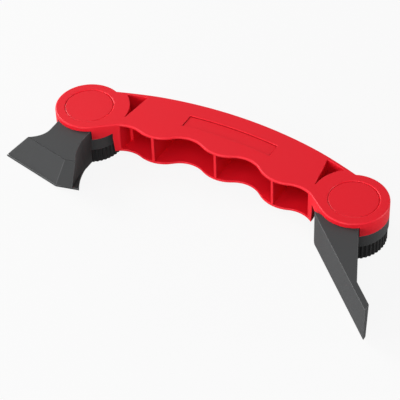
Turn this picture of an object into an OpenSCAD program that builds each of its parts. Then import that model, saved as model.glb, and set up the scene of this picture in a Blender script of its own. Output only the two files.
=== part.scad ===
// Caulk scraper: an arched moulded grip with a keyed scraper head clamped under each round end.
// Lengths are in millimetres. The part lies on its two knobs, with the flat face of the grip up.

/* [Grip] */
// Distance between the two clamp bolts
pivot_span = 111.4; // [109:0.2:114]
// Radius of the round end discs
disc_r = 13; // [12.8:0.1:13.4]
// Depth of the grip from its flat face to its underside
grip_h = 13.5; // [13:0.1:13.8]
// Thickness of the top plate and of the bottom plate
plate_t = 1.1; // [1:0.1:1.4]
// Thickness of the arched back wall
back_t = 1.4; // [1.2:0.1:1.8]
// Thickness of the ribs between the finger cells
rib_t = 1.1; // [1:0.1:1.4]
// Distance between neighbouring ribs
rib_pitch = 25.2; // [24:0.1:26]
// Radius of the arched back
back_r = 155; // [150:1:160]
// Reach of the back behind the line of the bolts
back_reach = 20.6; // [20:0.1:21]

/* [Finger scallops] */
// Radius of each finger scallop
finger_r = 10.6; // [10.2:0.1:11]
// Radius of the crests between the fingers
crest_r = 13; // [12:0.1:14]
// Distance of the inner scallops from the middle of the grip
finger_x1 = 11.5; // [11.2:0.1:11.8]
// Distance of the outer scallops from the middle of the grip
finger_x2 = 35; // [34.6:0.1:35.4]
// Deepest point of the inner scallops, behind the line of the bolts
finger_y1 = 1.1; // [0.8:0.1:1.4]
// Deepest point of the outer scallops, in front of the line of the bolts
finger_y2 = 3.2; // [2.9:0.1:3.5]

/* [Label recess] */
// Half the length of the bare label recess
label_half = 18.5; // [16:0.5:20]
// Distance of the recess from the arched back
label_inset = 6.9; // [6:0.1:8]
// Width of the recess across the grip
label_w = 6.2; // [5:0.1:7]
// Depth of the recess
label_d = 0.4; // [0.2:0.1:0.6]

/* [Clamp stack] */
// Height of the knobs
knob_h = 6.5; // [6.2:0.1:6.8]
// Radius of the knobs over their flutes
knob_r = 12.7; // [12.4:0.1:12.8]
// Number of flutes round each knob
flute_count = 48; // [36:2:54]
// Thickness of the round hub of each head
hub_h = 5.2; // [5:0.1:5.6]
// Height of the skirt that hangs round each hub
skirt_h = 4.2; // [4:0.1:4.6]
// Thickness of the round end discs
disc_t = 2; // [1.8:0.1:2.4]
// Thickness of the skirt wall
skirt_t = 1.6; // [1.4:0.1:1.8]
// Radius of the push-in caps
cap_r = 9.25; // [8.8:0.05:9.3]
// Radius of the clamp bolts
bolt_r = 2.5; // [2.4:0.05:2.6]

/* [Scraper heads] */
// Width of the necks that the skirts hold from turning
neck_w = 14.2; // [13.8:0.1:14.6]
// Depth of the blades
blade_h = 15; // [14.4:0.1:15.2]
// Angle of the wide scraper's edge across the neck
wide_skew = 12.5; // [11:0.5:14]
// Reach of the wide scraper's top edge in front of the bolt
wide_reach = 26.8; // [26.4:0.1:27.4]
// How far the wide scraper's edge stands in front of its top
wide_lean = 1.9; // [1.6:0.1:2.4]
// Reach of the wide scraper's point beside the bolt
wide_point = 24.1; // [23:0.1:25]
// Angle of the pointed blade away from the line of the bolts
blade_angle = 43.5; // [43:0.1:45]
// Thickness of the pointed blade along its top
blade_t = 2.3; // [2:0.1:2.6]
// Thickness of the pointed blade along its scraping edge
edge_t = 1.4; // [1:0.1:1.8]
// Distance of the pointed blade's outer face from the bolt
blade_offset = 15; // [14.8:0.1:15.2]
// Reach of the pointed blade's tip beside the bolt
blade_reach = 25.7; // [24:0.1:27]

/* [Hidden] */
$fn = 96;

red = [0.86, 0.15, 0.19];
grey = [0.3, 0.31, 0.32];
black = [0.12, 0.12, 0.13];
steel = [0.72, 0.73, 0.75];
brass = [0.78, 0.62, 0.3];

// Overlap of joined pieces, run of a cut past a face, and room between head and grip
eps = 0.01;
past = 1;
clear = 0.3;
LEFT = -1;
RIGHT = 1;

// Levels, counted up from the surface that the knobs stand on
washer_lift = 0.1;
head_gap = 0.1;
hub_z = knob_h + washer_lift;
skirt_z = hub_z + hub_h;
disc_z = skirt_z + skirt_h;
top_z = disc_z + disc_t;
grip_z = top_z - grip_h;
head_top_z = disc_z - head_gap;
blade_z = head_top_z - blade_h;

// Round parts about each bolt
pocket_r = disc_r + 1.4;
cone_r = disc_r + 1.85;
cone_gap = 0.02;
collar_r = disc_r + 3.6;
end_pocket_r = disc_r + 2.5;
wall_end_high = disc_r + 0.6;
wall_end_low = disc_r + 1.15;
skirt_in_r = disc_r - skirt_t;
boss_r = 9.8;
ring_r = skirt_in_r - clear;
boss_gap = 0.2;
cap_t = 1;
cap_sink = 0.2;
cap_gap = 0.05;
cap_z = top_z - cap_sink - cap_t;
spigot_in_r = 6.7;
spigot_out_r = 7.7;
spigot_h = 1.8;
spigot_gap = 0.1;
knob_room = 0.5;
neck_gap = 0.4;
notch_depth = 5;

// Clamp bolt, washer and insert
hex_flats = 8;
hex_h = 3.2;
hex_room = 0.2;
hex_gap = 0.2;
hex_z = cap_z - hex_room - hex_h;
shank_gap = 0.08;
bolt_end_z = 1.1;
bolt_tip = 0.5;
washer_r = 5;
washer_t = 1;
washer_gap = 0.3;
insert_r = 4.2;
insert_z = 0.8;
thread_gap = 0.05;
flute_r = 0.55;
flute_depth = 0.5;
knob_edge = 0.3;

// Finger scallops: centres of the four fingers and of the three crests between them
fingers = [
    [-finger_x2, -finger_y2 - finger_r], [-finger_x1, finger_y1 - finger_r],
    [finger_x1, finger_y1 - finger_r], [finger_x2, -finger_y2 - finger_r]
];
function turned(v) = [-v[1], v[0]];
function crest(a, b) =
    let (half = (b - a) / 2, side = finger_r + crest_r)
    a + half + turned(half) / norm(half) * sqrt(side * side - half * half);
crests = [for (i = [0:2]) crest(fingers[i], fingers[i + 1])];
function heading(from, to) = atan2(to[1] - from[1], to[0] - from[0]);
function on_circle(mid, r, turn) = mid + r * [cos(turn), sin(turn)];
function mirrored(v) = [-v[0], v[1]];

// Straight runs from the outer fingers to the discs; neighbouring curves cross a hair inside each other
hub_x = pivot_span / 2;
hair = 0.004;
end_turn = acos((disc_r + finger_r - 2 * hair) / norm([hub_x, 0] - fingers[3]));
end_heading = heading(fingers[3], [hub_x, 0]) + end_turn;
disc_touch = on_circle([hub_x, 0], disc_r - hair, end_heading + 180);
finger_touch = on_circle(fingers[3], finger_r - hair, end_heading);

// Slanted end walls of the grip: their faces in the outer cells and in the three-cornered pockets
cell_corner = [38.1, 2.2];
cell_foot_y = 0.3;
cell_back_x = 36.9;
corner_front = [40, 0.6];
corner_back_x = 38;
slant_y = 16;
far = 40;

// Wide scraper: plan points of its top and of its edge, seen from its bolt
root_y = -16.5;
neck_x = neck_w / 2;
skew = [cos(wide_skew), -sin(wide_skew)];
lip_t = 1;
lip_out = 0.3;
top_left_run = 12.4;
top_right_run = 7.3;
low_right_run = 2.2;
top_turn = [4.1, 0.9];
low_turn = [6.7, 0.9];
lip_turn = [2.4, 1];
wide_top_left = [0, -wide_reach] - top_left_run * skew;
wide_top_corner = [0, -wide_reach] + top_right_run * skew;
wide_top_end = wide_top_corner + top_turn;
wide_low_y = -wide_reach - wide_lean;
wide_low_left = [-wide_point + lip_out, wide_low_y + (wide_point - lip_out) * tan(wide_skew)];
wide_low_corner = [0, wide_low_y] + low_right_run * skew;
wide_low_end = wide_low_corner + low_turn;
lip_left = [-wide_point, wide_low_left[1] - lip_out];
lip_corner = wide_low_corner + [0, -lip_out];
lip_end = wide_low_end + lip_turn;

// Sides of the wide scraper: curves from the neck to the points, each drawn towards a pull point
top_pulls = [[-neck_x, -21], [8.1, -23.4]];
low_pulls = [[-neck_x, -19.5], [7.7, -22.6]];
lip_pulls = [[-neck_x, -19.8], [8, -22.4]];
curve_steps = 10;
function blend(a, b, c) =
    [for (i = [0:curve_steps]) let (t = i / curve_steps)
        (1 - t) * (1 - t) * a + 2 * t * (1 - t) * b + t * t * c];
function wide_outline(left, corner, end, pulls) = concat(
    blend([-neck_x, root_y], pulls[0], left), [corner],
    blend(end, pulls[1], [neck_x, root_y]));
wide_top = wide_outline(wide_top_left, wide_top_corner, wide_top_end, top_pulls);
wide_low = wide_outline(wide_low_left, wide_low_corner, wide_low_end, low_pulls);
wide_lip = wide_outline(lip_left, lip_corner, lip_end, lip_pulls);

// Pointed blade: plan points, seen from its bolt
blade_way = [cos(blade_angle), -sin(blade_angle)];
blade_out = [-sin(blade_angle), -cos(blade_angle)];
function on_blade(distance, x) =
    let (along = (x - distance * blade_out[0]) / blade_way[0]) distance * blade_out + along * blade_way;
tip_outer = on_blade(blade_offset, blade_reach);
blade_start_x = -9.5;
blade_bar_start = 8;
blade_bar_end = 60;
neck_y = -8.6;
shoulder_y = -10.7;
web_x = 19.4;
web_corner = [-10.5, -10.05];
web_outline = [
    [-neck_x, shoulder_y], web_corner, on_blade(blade_offset, blade_start_x), on_blade(blade_offset, web_x),
    on_blade(blade_offset - edge_t / 2, web_x), [neck_x, shoulder_y]
];

// Middle of the whole outline, which is the origin of the frame
low_x = -hub_x - wide_point;
high_x = hub_x + blade_reach;
frame_mid = [(low_x + high_x) / 2, (tip_outer[1] + back_reach) / 2];

module in_frame() {
    translate([-frame_mid[0], -frame_mid[1], 0])
        children();
}

module at_bolt(side) {
    translate([side * hub_x, 0, 0])
        children();
}

module rod(r, low, high) {
    translate([0, 0, low])
        cylinder(r = r, h = high - low);
}

module ring(outer, inner, low, high) {
    difference() {
        rod(outer, low, high);
        rod(inner, low - eps, high + eps);
    }
}

module slab(low, high) {
    translate([0, 0, low])
        linear_extrude(high - low)
            children();
}

module back_disc(inset) {
    translate([0, back_reach - back_r])
        circle(r = back_r - inset, $fn = 360);
}

// Plan of the grip between the bolts: a zigzag through the middles of the fingers and crests, with the
// crests added to it and the fingers cut out of it
module grip_plan() {
    right_end = [finger_touch, disc_touch, [hub_x, 0], [hub_x, far]];
    left_end = [for (i = [3:-1:0]) mirrored(right_end[i])];
    zigzag = [for (i = [0:2]) each [fingers[i], crests[i]]];
    intersection() {
        back_disc(0);
        difference() {
            union() {
                polygon(concat(left_end, zigzag, [fingers[3]], right_end));
                for (crest = crests)
                    translate(crest)
                        circle(r = crest_r + hair);
            }
            for (finger = fingers)
                translate(finger)
                    circle(r = finger_r);
        }
    }
}

// Plan of a finger cell: index 0 and 3 end at the slanted walls, 1 and 2 lie between ribs
module cell_plan(index) {
    side = index < 2 ? LEFT : RIGHT;
    rib_edge = rib_pitch + rib_t / 2;
    mirror([side == LEFT ? 1 : 0, 0])
        difference() {
            intersection() {
                back_disc(back_t);
                if (index == 1 || index == 2)
                    polygon([[rib_t / 2, -far], [rib_pitch - rib_t / 2, -far],
                             [rib_pitch - rib_t / 2, far], [rib_t / 2, far]]);
                else
                    polygon([[rib_edge, -far], [hub_x, -far], [hub_x, cell_foot_y], cell_corner,
                             [cell_back_x, slant_y], [cell_back_x, far], [rib_edge, far]]);
            }
            translate([hub_x, 0])
                circle(r = collar_r);
        }
}

// Plan of the three-cornered pocket between a slanted wall, the collar and the back wall
module pocket_plan(side) {
    mirror([side == LEFT ? 1 : 0, 0])
        difference() {
            intersection() {
                back_disc(back_t);
                polygon([corner_front, [corner_back_x, slant_y], [corner_back_x, far],
                         [hub_x, far], [hub_x, corner_front[1]]]);
            }
            translate([hub_x, 0])
                circle(r = end_pocket_r);
        }
}

module label_plan() {
    intersection() {
        difference() {
            back_disc(label_inset);
            back_disc(label_inset + label_w);
        }
        translate([-label_half, 0])
            square([2 * label_half, far]);
    }
}

// Pocket round a head's hub: a cylinder with a wider cone above it, and a drafted gap to the front
module hub_pocket() {
    low = grip_z - past;
    rotate_extrude()
        polygon([[0, low], [pocket_r, low], [pocket_r, skirt_z], [cone_r, skirt_z],
                 [cone_r, skirt_z + cone_r - disc_r], [disc_r + cone_gap, skirt_z + cone_gap],
                 [disc_r + cone_gap, skirt_z], [0, skirt_z]]);
    rotate([90, 0, 0])
        linear_extrude(pocket_r)
            polygon([[-wall_end_low, low], [wall_end_low, low],
                     [wall_end_high, skirt_z], [-wall_end_high, skirt_z]]);
}

// Everything cut out of a round end: hub pocket, skirt, key notch, bolt bore, cap seat
module end_cuts() {
    hub_pocket();
    rod(skirt_in_r, skirt_z - eps, skirt_z + boss_gap);
    ring(skirt_in_r, boss_r, skirt_z, disc_z);
    difference() {
        translate([-neck_x - neck_gap, -disc_r - past, skirt_z - past])
            cube([neck_w + 2 * neck_gap, notch_depth + past, skirt_h + past]);
        rod(boss_r, skirt_z - 2 * past, disc_z + past);
    }
    rod(bolt_r + shank_gap, skirt_z, top_z);
    rod(cap_r + cap_gap, cap_z, top_z + past);
    ring(spigot_out_r + spigot_gap, spigot_in_r - spigot_gap, cap_z - spigot_h - boss_gap, cap_z + eps);
    translate([0, 0, hex_z])
        cylinder(d = (hex_flats + hex_gap) / cos(30), h = top_z - hex_z, $fn = 6);
}

module handle() {
    color(red)
        in_frame()
            difference() {
                union() {
                    slab(grip_z, top_z)
                        grip_plan();
                    for (side = [LEFT, RIGHT])
                        at_bolt(side)
                            rod(disc_r, skirt_z, top_z);
                }
                for (side = [LEFT, RIGHT])
                    at_bolt(side)
                        end_cuts();
                slab(grip_z + plate_t, top_z - plate_t)
                    for (index = [0:3])
                        cell_plan(index);
                slab(grip_z + plate_t, top_z + past)
                    for (side = [LEFT, RIGHT])
                        pocket_plan(side);
                slab(top_z - label_d, top_z + past)
                    label_plan();
            }
}

// Push-in cap over the bolt head, held by its ring spigot
module hub_cap(side) {
    color(red)
        in_frame()
            at_bolt(side) {
                rod(cap_r, cap_z, cap_z + cap_t);
                ring(spigot_out_r, spigot_in_r, cap_z - spigot_h, cap_z + eps);
            }
}

module clamp_bolt(side) {
    color(steel)
        in_frame()
            at_bolt(side) {
                translate([0, 0, hex_z])
                    cylinder(d = hex_flats / cos(30), h = hex_h, $fn = 6);
                rod(bolt_r, bolt_end_z + bolt_tip, hex_z + eps);
                translate([0, 0, bolt_end_z])
                    cylinder(r1 = bolt_r - bolt_tip, r2 = bolt_r, h = bolt_tip);
            }
}

// Round hub that both heads share, with its locating ring; the neck comes as a child
module head_on_hub() {
    difference() {
        union() {
            rod(disc_r, hub_z, skirt_z);
            ring(ring_r, boss_r + clear, skirt_z - eps, head_top_z);
            difference() {
                children();
                rod(boss_r + clear, skirt_z, top_z);
                rod(knob_r + knob_room, blade_z - past, hub_z);
            }
        }
        rod(bolt_r + shank_gap, hub_z - past, skirt_z + past);
        rod(washer_r + washer_gap, hub_z - past, knob_h + washer_t);
    }
}

// Straight neck that fills the skirt's notch, out to the given line
module neck(end_y) {
    slab(blade_z, head_top_z)
        polygon([[-neck_x, neck_y], [-neck_x, end_y], [neck_x, end_y], [neck_x, neck_y]]);
}

// Solid between a lower and an upper outline with the same odd number of points, halved by the middle one.
// Its floor and roof are strips across the outline, because the outline isn't convex.
module skin(low, high, low_z, high_z) {
    n = len(low);
    tip = (n - 1) / 2;
    points = concat([for (p = low) [p[0], p[1], low_z]], [for (p = high) [p[0], p[1], high_z]]);
    sides = [for (i = [0:n - 1]) let (j = (i + 1) % n) each [[i, n + i, n + j], [i, n + j, j]]];
    floors = concat(
        [for (i = [0:tip - 2]) each [[i, i + 1, n - 2 - i], [i, n - 2 - i, n - 1 - i]]],
        [[tip - 1, tip, tip + 1]]);
    roofs = [for (f = floors) [n + f[2], n + f[1], n + f[0]]];
    polyhedron(points, concat(floors, sides, roofs));
}

module wide_scraper_head() {
    color(grey)
        in_frame()
            at_bolt(LEFT)
                head_on_hub() {
                    union() {
                        neck(root_y);
                        skin(wide_low, wide_top, blade_z + lip_t, head_top_z);
                        slab(blade_z, blade_z + lip_t)
                            polygon(wide_lip);
                    }
                }
}

// Straight bar, thinner along its scraping edge, cut off square to the line of the bolts at its tip
module pointed_blade() {
    difference() {
        rotate(-blade_angle)
            rotate([90, 0, 90])
                slab(blade_bar_start, blade_bar_end)
                    polygon([[-blade_offset, blade_z], [-blade_offset + edge_t, blade_z],
                             [-blade_offset + blade_t, head_top_z], [-blade_offset, head_top_z]]);
        translate([blade_reach, -2 * far, blade_z - past])
            cube([far, 2 * far, blade_h + 2 * past]);
    }
}

module pointed_scraper_head() {
    color(grey)
        in_frame()
            at_bolt(RIGHT)
                head_on_hub() {
                    union() {
                        neck(shoulder_y);
                        slab(blade_z, head_top_z)
                            polygon(web_outline);
                        pointed_blade();
                    }
                }
}

module washer(side) {
    color(steel)
        in_frame()
            at_bolt(side)
                ring(washer_r, bolt_r + shank_gap, knob_h, knob_h + washer_t);
}

module knob(side) {
    color(black)
        in_frame()
            at_bolt(side)
                difference() {
                    intersection() {
                        slab(0, knob_h)
                            difference() {
                                circle(r = knob_r);
                                for (i = [0:flute_count - 1])
                                    rotate(i * 360 / flute_count)
                                        translate([knob_r + flute_r - flute_depth, 0])
                                            circle(r = flute_r, $fn = 24);
                            }
                        rotate_extrude()
                            polygon([[0, 0], [knob_r - knob_edge, 0], [knob_r + past, knob_edge + past],
                                     [knob_r + past, knob_h], [0, knob_h]]);
                    }
                    rod(insert_r, insert_z, knob_h + past);
                }
}

module knob_insert(side) {
    color(brass)
        in_frame()
            at_bolt(side)
                ring(insert_r, bolt_r + thread_gap, insert_z, knob_h);
}

handle();
hub_cap(LEFT);  // left_hub_cap
hub_cap(RIGHT);  // right_hub_cap
clamp_bolt(LEFT);  // left_clamp_bolt
clamp_bolt(RIGHT);  // right_clamp_bolt
wide_scraper_head();
pointed_scraper_head();
washer(LEFT);  // left_washer
washer(RIGHT);  // right_washer
knob(LEFT);  // left_knob
knob(RIGHT);  // right_knob
knob_insert(LEFT);  // left_knob_insert
knob_insert(RIGHT);  // right_knob_insert
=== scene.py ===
"""Caulk scraper: a red moulded finger grip with a grey scraper head clamped under each round end.

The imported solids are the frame. Each plastic piece is a copy of its solid with moulded edges, the bolts get
their threads, and the washers and inserts keep their solids and get a metal finish. Lengths are in metres.
"""
import math

import bmesh
import bpy
from mathutils import Matrix, Vector
from mathutils.geometry import intersect_point_line


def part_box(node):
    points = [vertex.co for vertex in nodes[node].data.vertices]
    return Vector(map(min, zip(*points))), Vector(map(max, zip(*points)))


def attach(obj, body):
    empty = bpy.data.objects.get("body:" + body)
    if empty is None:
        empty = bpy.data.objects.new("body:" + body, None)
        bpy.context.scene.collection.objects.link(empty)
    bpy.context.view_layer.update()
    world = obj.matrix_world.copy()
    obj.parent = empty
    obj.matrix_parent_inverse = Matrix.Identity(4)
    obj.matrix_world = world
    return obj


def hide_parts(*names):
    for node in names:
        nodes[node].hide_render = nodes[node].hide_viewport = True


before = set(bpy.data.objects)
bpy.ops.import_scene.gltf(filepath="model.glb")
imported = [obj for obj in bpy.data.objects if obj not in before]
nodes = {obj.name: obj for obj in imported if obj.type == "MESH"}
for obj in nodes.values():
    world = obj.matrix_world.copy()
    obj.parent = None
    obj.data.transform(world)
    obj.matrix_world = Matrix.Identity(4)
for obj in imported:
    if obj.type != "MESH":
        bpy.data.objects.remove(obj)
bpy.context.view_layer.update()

MM = 0.001
SIDES = ("left", "right")

# How close a point lies to count as on a level, and how close two points lie to be merged
NEAR = 0.02 * MM
MERGE = 0.001 * MM


def middle(node):
    """Middle of a solid's box."""
    low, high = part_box(node)
    return (low + high) / 2


# Places that the pieces are shaped by, all taken from the solids
HUBS = {side: middle(side + "_hub_cap") for side in SIDES}
BOLT_LINE_Y = HUBS["left"].y
GRIP_LOW, GRIP_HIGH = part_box("handle")
GRIP_MIDDLE_X = (HUBS["left"].x + HUBS["right"].x) / 2
CAP_TOP_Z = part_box("left_hub_cap")[1].z
HEAD_TOP_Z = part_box("wide_scraper_head")[1].z

# Rounding of the moulded edges
FACE_EDGE = 0.6 * MM
BACK_EDGE = 0.2 * MM
UNDERSIDE_EDGE = 0.4 * MM
CELL_EDGE = 0.2 * MM
RIDGE_EDGE = 0.35 * MM
FINE_EDGE = 0.2 * MM
SEAT_EDGE = 0.4 * MM
CAP_EDGE = 0.45 * MM
HEAD_EDGE = 0.2 * MM
FOLD_EDGE = 0.3 * MM
KNOB_EDGE = 0.12 * MM
FLUTE_EDGE = 0.1 * MM
BOLT_EDGE = 0.15 * MM

# Angles between faces: merged below the first, rounded above the second, shaded smooth below the third
FLAT_ANGLE = math.radians(0.5)
SHARP_ANGLE = math.radians(25)
SMOOTH_ANGLE = math.radians(35)


def only(piece):
    """Makes one object the selected and active one."""
    bpy.ops.object.select_all(action="DESELECT")
    piece.select_set(True)
    bpy.context.view_layer.objects.active = piece


def merged_copy(node, name):
    """A copy of a solid's mesh as a new piece, its triangles joined into whole faces."""
    piece = bpy.data.objects.new(name, nodes[node].data.copy())
    piece.data.name = name
    bpy.context.scene.collection.objects.link(piece)
    only(piece)
    bpy.ops.mesh.customdata_custom_splitnormals_clear()
    bpy.ops.object.mode_set(mode="EDIT")
    bpy.ops.mesh.select_all(action="SELECT")
    bpy.ops.mesh.remove_doubles(threshold=MERGE)
    bpy.ops.mesh.dissolve_limited(angle_limit=FLAT_ANGLE)
    bpy.ops.object.mode_set(mode="OBJECT")
    return piece


def round_edges(piece, radius_of, segments=4):
    """Rounds the outer edges of a piece, each by what radius_of gives for its middle and direction."""
    only(piece)
    bpy.ops.object.mode_set(mode="EDIT")
    bpy.ops.mesh.select_mode(type="EDGE")
    mesh = bmesh.from_edit_mesh(piece.data)
    radii = {}
    for edge in mesh.edges:
        if edge.is_convex and edge.calc_face_angle(0) > SHARP_ANGLE:
            start, end = (vert.co for vert in edge.verts)
            radii[edge.index] = radius_of((start + end) / 2, (end - start).normalized())
    widest = max(radii.values())
    for radius in sorted(set(radii.values()) - {0}):
        bpy.ops.mesh.select_all(action="DESELECT")
        mesh = bmesh.from_edit_mesh(piece.data)
        mesh.edges.ensure_lookup_table()
        for index, wanted in radii.items():
            if wanted == radius:
                mesh.edges[index].select = True
        bmesh.update_edit_mesh(piece.data)
        bpy.ops.transform.edge_bevelweight(value=radius / widest)
    bpy.ops.object.mode_set(mode="OBJECT")
    piece.data.materials.clear()
    for _ in ("flat faces", "rounded edges"):
        piece.data.materials.append(None)
    bevel = piece.modifiers.new("moulded_edges", "BEVEL")
    bevel.limit_method = "WEIGHT"
    bevel.width = widest
    bevel.segments = segments
    bevel.use_clamp_overlap = False
    bevel.material = 1
    bpy.ops.object.modifier_apply(modifier=bevel.name)
    mark_edges(piece)


def mark_edges(piece):
    """Keeps an attribute that is 1 along the middle of each rounded edge and 0 on the flat faces; it lightens
    the edges as scuffing, and on the grey heads partly as a painted highlight. Grooves later get values below
    zero in it, as painted shade.
    """
    mesh = piece.data
    wear_and_painted_light = [1.0] * len(mesh.vertices)
    for face in mesh.polygons:
        if face.material_index == 0:
            for vertex in face.vertices:
                wear_and_painted_light[vertex] = 0.0
        face.material_index = 0
    mesh.attributes.new("wear_and_painted_light", "FLOAT", "POINT").data.foreach_set("value", wear_and_painted_light)


def place(piece, body, node, material):
    """Shades a finished piece and sets it on its body in the place of its solid."""
    only(piece)
    bpy.ops.object.shade_smooth_by_angle(angle=SMOOTH_ANGLE)
    flats = piece.modifiers.new("flat_faces", "WEIGHTED_NORMAL")
    flats.weight = 100
    flats.keep_sharp = True
    bpy.ops.object.modifier_apply(modifier=flats.name)
    piece.data.materials.clear()
    piece.data.materials.append(material)
    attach(piece, body)
    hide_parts(node)


# Finishes

# Scale and detail of the noise under each effect
NOISES = {"cloud": (70, 4), "wear_and_painted_light": (420, 3), "grain": (2600, 2)}
WEAR_LEAST = 0.5
WEAR_SWING = 0.8
ROUGHNESS_SWING = 0.16
WORN_ROUGHNESS = -0.06
GRAIN_DEPTH = 0.05 * MM


def node_link(tree, source, output, target, socket):
    """Joins an output of one shader node to a socket of another."""
    tree.links.new(source.outputs[output], target.inputs[socket])


def add_math(tree, operation, *values):
    """A Math node with its inputs given as numbers or as (node, output) pairs."""
    node = tree.nodes.new("ShaderNodeMath")
    node.operation = operation
    for socket, value in enumerate(values):
        if isinstance(value, tuple):
            node_link(tree, *value, node, socket)
        else:
            node.inputs[socket].default_value = value
    return node, "Value"


def add_noise(tree, coords, scale, detail):
    """A Noise node on the piece's own coordinates."""
    noise = tree.nodes.new("ShaderNodeTexNoise")
    noise.inputs["Scale"].default_value = scale
    noise.inputs["Detail"].default_value = detail
    node_link(tree, coords, "Object", noise, "Vector")
    return noise, "Fac"


def make_surface_group():
    """Handled surface: cloudy colour, lighter rounded edges (scuffing, and on the grey heads a painted
    highlight too), painted shade darkening the grooves, uneven gloss and a fine grain.
    """
    group = bpy.data.node_groups.new("handled_surface", "ShaderNodeTree")
    sockets = group.interface
    for name, kind in (("Color", "Color"), ("Edge Color", "Color"), ("Cloud", "Float"), ("Gloss", "Float")):
        sockets.new_socket(name=name, in_out="INPUT", socket_type="NodeSocket" + kind)
    for name, kind in (("Color", "Color"), ("Roughness", "Float"), ("Height", "Float")):
        sockets.new_socket(name=name, in_out="OUTPUT", socket_type="NodeSocket" + kind)
    given = group.nodes.new("NodeGroupInput")
    out = group.nodes.new("NodeGroupOutput")
    coords = group.nodes.new("ShaderNodeTexCoord")
    noises = {name: add_noise(group, coords, *values) for name, values in NOISES.items()}
    edge = group.nodes.new("ShaderNodeAttribute")
    edge.attribute_name = "wear_and_painted_light"
    patchy = add_math(group, "MULTIPLY_ADD", noises["wear_and_painted_light"], WEAR_SWING, WEAR_LEAST)
    worn_and_highlit = add_math(group, "MULTIPLY", (edge, "Fac"), patchy)
    worn_and_highlit[0].use_clamp = True
    centred = add_math(group, "SUBTRACT", noises["cloud"], 0.5)
    # Painted shade: where the edge mark is below zero, along the grooves, the colour is darkened.
    painted_shade_factor = add_math(group, "ADD", (edge, "Fac"), 1.0)
    painted_shade_factor[0].use_clamp = True
    swing = add_math(group, "MULTIPLY_ADD", centred, (given, "Cloud"), painted_shade_factor)
    tint = group.nodes.new("ShaderNodeHueSaturation")
    node_link(group, given, "Color", tint, "Color")
    node_link(group, *swing, tint, "Value")
    mix = group.nodes.new("ShaderNodeMixRGB")
    node_link(group, *worn_and_highlit, mix, "Fac")
    node_link(group, tint, "Color", mix, "Color1")
    node_link(group, given, "Edge Color", mix, "Color2")
    node_link(group, mix, "Color", out, "Color")
    gloss = add_math(group, "MULTIPLY_ADD", centred, ROUGHNESS_SWING, (given, "Gloss"))
    rubbed = add_math(group, "MULTIPLY_ADD", worn_and_highlit, WORN_ROUGHNESS, gloss)
    node_link(group, *rubbed, out, "Roughness")
    node_link(group, *noises["grain"], out, "Height")
    return group


def make_finish(name, color, edge_color, cloud, gloss, grain, specular=0.5, metallic=0.0):
    """A plastic or metal with its own colours, cloudiness, gloss and strength of grain."""
    material = bpy.data.materials.new(name)
    material.use_nodes = True
    tree = material.node_tree
    shader = tree.nodes["Principled BSDF"]
    shader.inputs["Specular IOR Level"].default_value = specular
    shader.inputs["Metallic"].default_value = metallic
    surface = tree.nodes.new("ShaderNodeGroup")
    surface.node_tree = surface_group
    surface.inputs["Color"].default_value = (*color, 1)
    surface.inputs["Edge Color"].default_value = (*edge_color, 1)
    surface.inputs["Cloud"].default_value = cloud
    surface.inputs["Gloss"].default_value = gloss
    bump = tree.nodes.new("ShaderNodeBump")
    bump.inputs["Strength"].default_value = grain
    bump.inputs["Distance"].default_value = GRAIN_DEPTH
    node_link(tree, surface, "Color", shader, "Base Color")
    node_link(tree, surface, "Roughness", shader, "Roughness")
    node_link(tree, surface, "Height", bump, "Height")
    node_link(tree, bump, "Normal", shader, "Normal")
    return material


surface_group = make_surface_group()
red_plastic = make_finish(
    "red_plastic", color=(0.72, 0.005, 0.016), edge_color=(0.78, 0.008, 0.022),
    cloud=0.06, gloss=0.5, grain=0.12, specular=0.3)
# The grey heads' lighter edge colour is partly scuffing and partly a painted highlight along the rounded
# edges.
grey_plastic = make_finish(
    "grey_plastic", color=(0.042, 0.043, 0.044), edge_color=(0.085, 0.086, 0.087),
    cloud=0.12, gloss=0.6, grain=0.15, specular=0.25)
black_plastic = make_finish(
    "black_plastic", color=(0.01, 0.01, 0.0105), edge_color=(0.022, 0.022, 0.023),
    cloud=0.12, gloss=0.55, grain=0.2, specular=0.3)
zinc_steel = make_finish(
    "zinc_steel", color=(0.6, 0.61, 0.63), edge_color=(0.74, 0.75, 0.77),
    cloud=0.1, gloss=0.34, grain=0.1, metallic=1.0)
turned_brass = make_finish(
    "turned_brass", color=(0.7, 0.48, 0.19), edge_color=(0.8, 0.6, 0.28),
    cloud=0.12, gloss=0.32, grain=0.1, metallic=1.0)


# Grip

# Distances from the nearer bolt: rim of a cap's seat, rim of a disc, past a hub's pocket, past both discs
SEAT_RIM_R = 9.6 * MM
DISC_R = 13 * MM
PAST_HUB_R = 14.6 * MM
PAST_DISCS_R = 20 * MM

# The arched back, and how far from a disc its rounding takes to become fine
BACK_R = 155 * MM
BACK_MIDDLE = Vector((GRIP_MIDDLE_X, GRIP_HIGH.y - BACK_R))
BACK_NEAR = 0.1 * MM
BACK_FADE = 12 * MM

# Where the label recess, the pockets and the ridges lie, from the middle of the grip and from its back
LABEL_HALF = 18.7 * MM
LABEL_FROM_BACK = (6 * MM, 14 * MM)
LABEL_DEEP = (0.1 * MM, 1 * MM)
POCKET_START = 36 * MM
POCKET_MARGIN = 1 * MM
RIDGE_AT = Vector((38.1, 2.2)) * MM
RIDGE_NEAR = 1 * MM

# Share of a direction that points up in an upright edge of a ridge, and in a level face
RIDGE_UPRIGHT = 0.8
LEVEL = 0.99

# Groove at the foot of the label recess, and the painted shade that darkens its colour
LABEL_GROOVE_W = 0.3 * MM
LABEL_GROOVE_D = 0.25 * MM
LABEL_PAINTED_SHADE = 0.6


def hub_distance(point):
    """Distance of a point from the nearer bolt's line."""
    return min((point - hub).xy.length for hub in HUBS.values())


def back_distance(point):
    """Distance of a point in front of the arched back."""
    return BACK_R - (point.xy - BACK_MIDDLE).length


def on_back(point):
    """True along the arched back, outside the discs."""
    return abs(back_distance(point)) < BACK_NEAR and hub_distance(point) > DISC_R + BACK_NEAR


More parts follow.
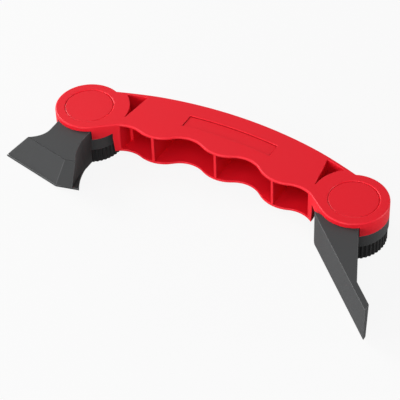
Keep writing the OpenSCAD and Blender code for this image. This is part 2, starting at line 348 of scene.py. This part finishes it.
def inside_outline(point):
    """True for the edges of the label recess and of the pockets beside the discs."""
    along = abs(point.x - GRIP_MIDDLE_X)
    from_back = back_distance(point)
    if along < LABEL_HALF:
        return LABEL_FROM_BACK[0] < from_back < LABEL_FROM_BACK[1]
    inside = from_back > POCKET_MARGIN and hub_distance(point) > DISC_R + POCKET_MARGIN
    return along > POCKET_START and inside and point.y > BOLT_LINE_Y


def at_ridge(point):
    """True where a hub's slanted wall meets the end wall of the cell beside it."""
    seen = Vector((abs(point.x - GRIP_MIDDLE_X), point.y - BOLT_LINE_Y))
    return (seen - RIDGE_AT).length < RIDGE_NEAR


def back_edge(point):
    """Rounding along the back: as broad as round the face beside a disc, and fine further on."""
    near_disc = max(0, 1 - (hub_distance(point) - DISC_R) / BACK_FADE)
    hundredths = round((BACK_EDGE + (FACE_EDGE - BACK_EDGE) * near_disc) / MM, 2)
    return hundredths * MM


def grip_edge(point, way):
    """Rounding of the grip's edges: broad round its face, fine in its seats, cells and recesses."""
    if abs(point.z - GRIP_HIGH.z) < NEAR:
        if hub_distance(point) < SEAT_RIM_R:
            return SEAT_EDGE
        if on_back(point):
            return back_edge(point)
        return FINE_EDGE if inside_outline(point) else FACE_EDGE
    if abs(point.z - GRIP_LOW.z) < NEAR:
        return UNDERSIDE_EDGE
    if hub_distance(point) < PAST_HUB_R:
        return 0
    return RIDGE_EDGE if at_ridge(point) and abs(way.z) > RIDGE_UPRIGHT else CELL_EDGE


def on_label_floor(face):
    """True for the faces of the label recess's floor."""
    spot = face.calc_center_median()
    deep = LABEL_DEEP[0] < GRIP_HIGH.z - spot.z < LABEL_DEEP[1]
    return deep and face.normal.z > LEVEL and hub_distance(spot) > PAST_DISCS_R


def groove_label(piece):
    """Sinks a fine groove round the floor of the label recess, at the foot of its walls, and darkens its
    colour as painted shade.
    """
    only(piece)
    bpy.ops.object.mode_set(mode="EDIT")
    bpy.ops.mesh.select_mode(type="FACE")
    bpy.ops.mesh.select_all(action="DESELECT")
    mesh = bmesh.from_edit_mesh(piece.data)
    for face in mesh.faces:
        face.select = on_label_floor(face)
    foot = [vert.co.copy() for vert in mesh.verts
            if vert.select and not all(face.select for face in vert.link_faces)]
    bmesh.update_edit_mesh(piece.data)
    bpy.ops.mesh.inset(thickness=LABEL_GROOVE_W, depth=0)
    bpy.ops.mesh.select_mode(type="VERT")
    bpy.ops.mesh.select_all(action="DESELECT")
    mesh = bmesh.from_edit_mesh(piece.data)
    wear_and_painted_light = mesh.verts.layers.float["wear_and_painted_light"]
    for vert in mesh.verts:
        if min((vert.co - spot).length for spot in foot) < NEAR:
            vert.select = True
            # Painted shade: the groove's colour is darkened.
            vert[wear_and_painted_light] = -LABEL_PAINTED_SHADE
    bmesh.update_edit_mesh(piece.data)
    bpy.ops.transform.translate(value=(0, 0, -LABEL_GROOVE_D))
    bpy.ops.object.mode_set(mode="OBJECT")


grip = merged_copy("handle", "grip")
round_edges(grip, grip_edge)
groove_label(grip)
place(grip, "handle", "handle", red_plastic)

for side in SIDES:
    cap = merged_copy(side + "_hub_cap", side + "_cap")
    round_edges(cap, lambda point, way: CAP_EDGE if abs(point.z - CAP_TOP_Z) < NEAR else 0)
    place(cap, "handle", side + "_hub_cap", red_plastic)


# Scraper heads

# The fold between the wide head's top and front: where it lies, the groove pressed along it and the painted
# shade that darkens it
FOLD_FRONT = BOLT_LINE_Y - 24 * MM
FOLD_MARGIN = 1 * MM
ALONG_FOLD = 0.9
PAST_ENDS = 0.01
FOLD_INWARDS = Vector((0, 0.7, -0.7))
FOLD_DEPTH = 0.35 * MM
FOLD_PAINTED_SHADE = 0.4


def on_fold(point, way):
    """True along the fold of the wide head between its top and its front."""
    return abs(point.z - HEAD_TOP_Z) < NEAR and point.y < FOLD_FRONT and abs(way.x) > ALONG_FOLD


def fold_lines(piece):
    """End points of the fold's edges, before they are rounded."""
    mesh = piece.data
    lines = []
    for edge in mesh.edges:
        start, end = (mesh.vertices[index].co.copy() for index in edge.vertices)
        if on_fold((start + end) / 2, (end - start).normalized()) and start.y < FOLD_FRONT + FOLD_MARGIN:
            lines.append((start, end))
    return lines


def press_fold(piece, lines):
    """Presses the middle of the rounded fold in as a fine groove, and darkens its colour as painted shade."""
    only(piece)
    bpy.ops.object.mode_set(mode="EDIT")
    bpy.ops.mesh.select_mode(type="VERT")
    bpy.ops.mesh.select_all(action="DESELECT")
    mesh = bmesh.from_edit_mesh(piece.data)
    wear_and_painted_light = mesh.verts.layers.float["wear_and_painted_light"]
    for vert in mesh.verts:
        for start, end in lines:
            foot, share = intersect_point_line(vert.co, start, end)
            if -PAST_ENDS < share < 1 + PAST_ENDS and (vert.co - foot).length < FOLD_EDGE / 2:
                vert.select = True
                # Painted shade: the fold's colour is darkened.
                vert[wear_and_painted_light] = -FOLD_PAINTED_SHADE
    mesh.select_flush_mode()
    bmesh.update_edit_mesh(piece.data)
    bpy.ops.transform.translate(value=FOLD_INWARDS * FOLD_DEPTH)
    bpy.ops.object.mode_set(mode="OBJECT")


wide_scraper = merged_copy("wide_scraper_head", "wide_scraper")
wide_fold = fold_lines(wide_scraper)
round_edges(wide_scraper, lambda point, way: FOLD_EDGE if on_fold(point, way) else HEAD_EDGE)
press_fold(wide_scraper, wide_fold)
place(wide_scraper, "wide_head", "wide_scraper_head", grey_plastic)

pointed_scraper = merged_copy("pointed_scraper_head", "pointed_scraper")
round_edges(pointed_scraper, lambda point, way: HEAD_EDGE)
place(pointed_scraper, "pointed_head", "pointed_scraper_head", grey_plastic)


# Clamps

FLUTE_UPRIGHT = 0.5

for side in SIDES:
    knob = merged_copy(side + "_knob", side + "_fluted_knob")
    round_edges(knob, lambda point, way: FLUTE_EDGE if abs(way.z) > FLUTE_UPRIGHT else KNOB_EDGE, segments=2)
    place(knob, side + "_knob", side + "_knob", black_plastic)

THREAD_PITCH = 0.8 * MM
THREAD_STEPS = 32
BOLT_R = 2.5 * MM
OUTSIDE_SHANK = 0.5 * MM
PLAIN_NECK = 0.8 * MM


def cut_level(z, **cut):
    """Cuts the mesh that is being edited at a level, closes the cut and clears one side."""
    bpy.ops.mesh.select_all(action="SELECT")
    bpy.ops.mesh.bisect(plane_co=(0, 0, z), plane_no=(0, 0, 1), use_fill=True, **cut)


def make_thread(name, line, low_z, high_z):
    """A screw thread round a bolt's line: a pointed ridge wound up from below, cut level at both ends."""
    depth = THREAD_PITCH / 2
    bpy.ops.object.select_all(action="DESELECT")
    bpy.ops.mesh.primitive_circle_add(vertices=4, radius=depth, rotation=(math.pi / 2, 0, 0))
    thread = bpy.context.object
    thread.name = name
    bpy.ops.object.transform_apply(rotation=True)
    bpy.ops.object.mode_set(mode="EDIT")
    bpy.ops.mesh.select_mode(type="VERT")
    bpy.ops.mesh.select_all(action="DESELECT")
    mesh = bmesh.from_edit_mesh(thread.data)
    min(mesh.verts, key=lambda vert: vert.co.x).select = True
    bpy.ops.mesh.delete(type="VERT")
    bpy.ops.mesh.select_all(action="SELECT")
    bpy.ops.transform.translate(value=(BOLT_R - depth, 0, low_z - THREAD_PITCH))
    bpy.ops.object.mode_set(mode="OBJECT")
    screw = thread.modifiers.new("thread", "SCREW")
    screw.screw_offset = THREAD_PITCH
    screw.iterations = math.ceil((high_z - low_z) / THREAD_PITCH) + 2
    screw.steps = screw.render_steps = THREAD_STEPS
    bpy.ops.object.modifier_apply(modifier=screw.name)
    bpy.ops.object.mode_set(mode="EDIT")
    bpy.ops.mesh.select_all(action="SELECT")
    bpy.ops.mesh.remove_doubles(threshold=MERGE)
    cut_level(low_z, clear_inner=True)
    cut_level(high_z, clear_outer=True)
    bpy.ops.mesh.select_all(action="SELECT")
    bpy.ops.mesh.normals_make_consistent(inside=False)
    bpy.ops.transform.translate(value=(line.x, line.y, 0))
    bpy.ops.object.mode_set(mode="OBJECT")
    return thread


def make_bolt(side):
    """A bolt with its hex head kept from the solid and a thread in the place of its plain shank."""
    node = side + "_clamp_bolt"
    hub = HUBS[side]
    head_z = min(vertex.co.z for vertex in nodes[node].data.vertices
                 if (vertex.co - hub).xy.length > BOLT_R + OUTSIDE_SHANK)
    bolt = merged_copy(node, side + "_bolt")
    bpy.ops.object.mode_set(mode="EDIT")
    cut_level(head_z - PLAIN_NECK, clear_inner=True)
    bpy.ops.object.mode_set(mode="OBJECT")
    round_edges(bolt, lambda point, way: BOLT_EDGE if point.z > head_z - NEAR else 0)
    thread = make_thread(side + "_thread", hub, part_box(node)[0].z, head_z - PLAIN_NECK)
    only(bolt)
    thread.select_set(True)
    bpy.ops.object.join()
    return bolt


for side in SIDES:
    place(make_bolt(side), "handle", side + "_clamp_bolt", zinc_steel)

for side in SIDES:
    for part, metal in (("washer", zinc_steel), ("knob_insert", turned_brass)):
        solid = nodes[side + "_" + part]
        solid.data.materials.clear()
        solid.data.materials.append(metal)


# Stage

FLOOR_SIZE = 6
FLOOR_COLOR = (0.55, 0.55, 0.55, 1)
FLOOR_SEEN = 0.9
FLOOR_MIRRORED = 0.08
WORLD_COLOR = (1, 1, 1, 1)
WORLD_LIGHT = 0.1


def make_backdrop_mask(tree, seen_share, mirrored_share):
    """How much of its own white the backdrop shows to the camera, and to a reflection or a clear material."""
    path = tree.nodes.new("ShaderNodeLightPath")
    mirrored = add_math(tree, "MAXIMUM", (path, "Is Glossy Ray"), (path, "Is Transmission Ray"))
    seen = add_math(tree, "MULTIPLY", (path, "Is Camera Ray"), seen_share)
    return add_math(tree, "MULTIPLY_ADD", mirrored, mirrored_share, seen)


def make_floor():
    """A pale floor that is nearly white to the camera and keeps the tool's shadow."""
    bpy.ops.object.select_all(action="DESELECT")
    bpy.ops.mesh.primitive_plane_add(size=FLOOR_SIZE)
    floor = bpy.context.object
    floor.name = "floor"
    paint = bpy.data.materials.new("floor_paint")
    paint.use_nodes = True
    tree = paint.node_tree
    tree.nodes.remove(tree.nodes["Principled BSDF"])
    lit = tree.nodes.new("ShaderNodeBsdfDiffuse")
    lit.inputs["Color"].default_value = FLOOR_COLOR
    glow = tree.nodes.new("ShaderNodeEmission")
    mix = tree.nodes.new("ShaderNodeMixShader")
    node_link(tree, *make_backdrop_mask(tree, FLOOR_SEEN, FLOOR_MIRRORED), mix, "Fac")
    node_link(tree, lit, "BSDF", mix, 1)
    node_link(tree, glow, "Emission", mix, 2)
    node_link(tree, mix, "Shader", tree.nodes["Material Output"], "Surface")
    floor.data.materials.append(paint)
    return floor


def make_world():
    """A dim even light all round, white where it is seen or mirrored."""
    world = bpy.data.worlds.new("studio")
    world.use_nodes = True
    tree = world.node_tree
    sky = tree.nodes["Background"]
    sky.inputs["Color"].default_value = WORLD_COLOR
    strength = tree.nodes.new("ShaderNodeMapRange")
    strength.inputs["To Min"].default_value = WORLD_LIGHT
    strength.inputs["To Max"].default_value = 1
    node_link(tree, *make_backdrop_mask(tree, 1.0, 1.0), strength, "Value")
    node_link(tree, strength, "Result", sky, "Strength")
    return world


def softbox(name, place_at, size, power):
    """A square lamp that faces the tool."""
    bpy.ops.object.light_add(type="AREA", location=place_at)
    lamp = bpy.context.object
    lamp.name = name
    lamp.data.shape = "SQUARE"
    lamp.data.size = size
    lamp.data.energy = power
    lamp.rotation_mode = "QUATERNION"
    lamp.rotation_quaternion = (-Vector(place_at)).to_track_quat("-Z", "Y")


make_floor()
bpy.context.scene.world = make_world()

softbox("key", (0.27, -0.45, 0.72), size=0.5, power=2.6)
softbox("left_fill", (-0.6, -0.6, 0.35), size=0.5, power=3.8)
softbox("front_fill", (0.0, -0.9, 0.12), size=0.3, power=4.6)
softbox("left_side", (-0.8, 0.1, 0.45), size=0.4, power=6.8)
softbox("right_side", (0.85, 0.4, 0.08), size=0.3, power=6.5)

# Camera where the photograph was taken from, for a square picture; lens and sensor in millimetres
CAMERA_AT = Vector((0.221675, -0.368577, 0.411467))
CAMERA_AIM = Vector((-0.375824, 0.620601, -0.688194))
CAMERA_ROLL = Matrix.Rotation(math.radians(-2.42), 3, "Z").to_quaternion()
CAMERA_LENS = 144.39
CAMERA_SENSOR = 36

bpy.ops.object.camera_add(location=CAMERA_AT)
camera = bpy.context.object
camera.data.sensor_width = CAMERA_SENSOR
camera.data.lens = CAMERA_LENS
camera.rotation_mode = "QUATERNION"
camera.rotation_quaternion = CAMERA_AIM.to_track_quat("-Z", "Y") @ CAMERA_ROLL
bpy.context.scene.camera = camera
bpy.context.scene.view_settings.view_transform = "Standard"
